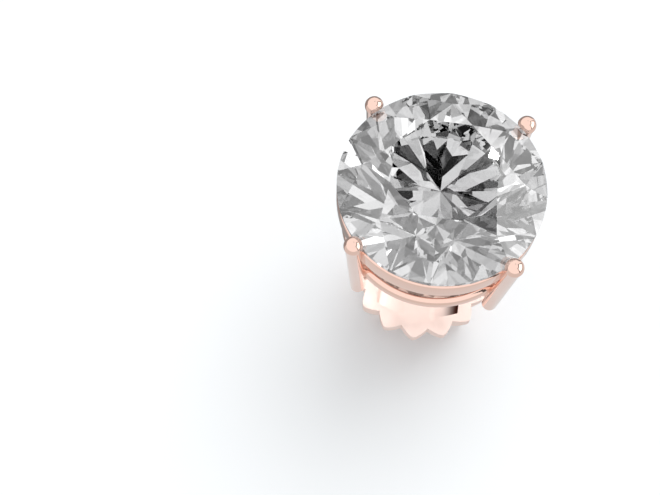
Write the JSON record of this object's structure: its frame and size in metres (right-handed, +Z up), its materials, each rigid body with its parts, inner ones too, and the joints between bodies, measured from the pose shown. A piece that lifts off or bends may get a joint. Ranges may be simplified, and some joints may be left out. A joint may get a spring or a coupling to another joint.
{
  "type": "stud earring",
  "caption": "Stud earring with a round brilliant stone held by ball-tipped prongs in a rose-gold basket; its post slides in a toothed friction nut.",
  "frame": {"origin": "centre of the bounding box in X and Y, on the floor the nut stands on", "axes": "+Z up along the post towards the stone's table, X across the nut's two scrolls, Y along them"},
  "size_m": [0.008, 0.008, 0.0141],
  "materials": {
    "stone": "polished facets, colourless",
    "rose_gold": "polished rose gold"
  },
  "bodies": {
    "nut": {"ear_nut": "rose_gold"},
    "stud": {"setting": "rose_gold", "stone": "stone"}
  },
  "joints": [
    {"name": "stud_slide", "type": "slide", "parent": "nut", "child": "stud", "axis": [0, 0, 1], "range_m": [-0.0052, 0.0033]}
  ]
}
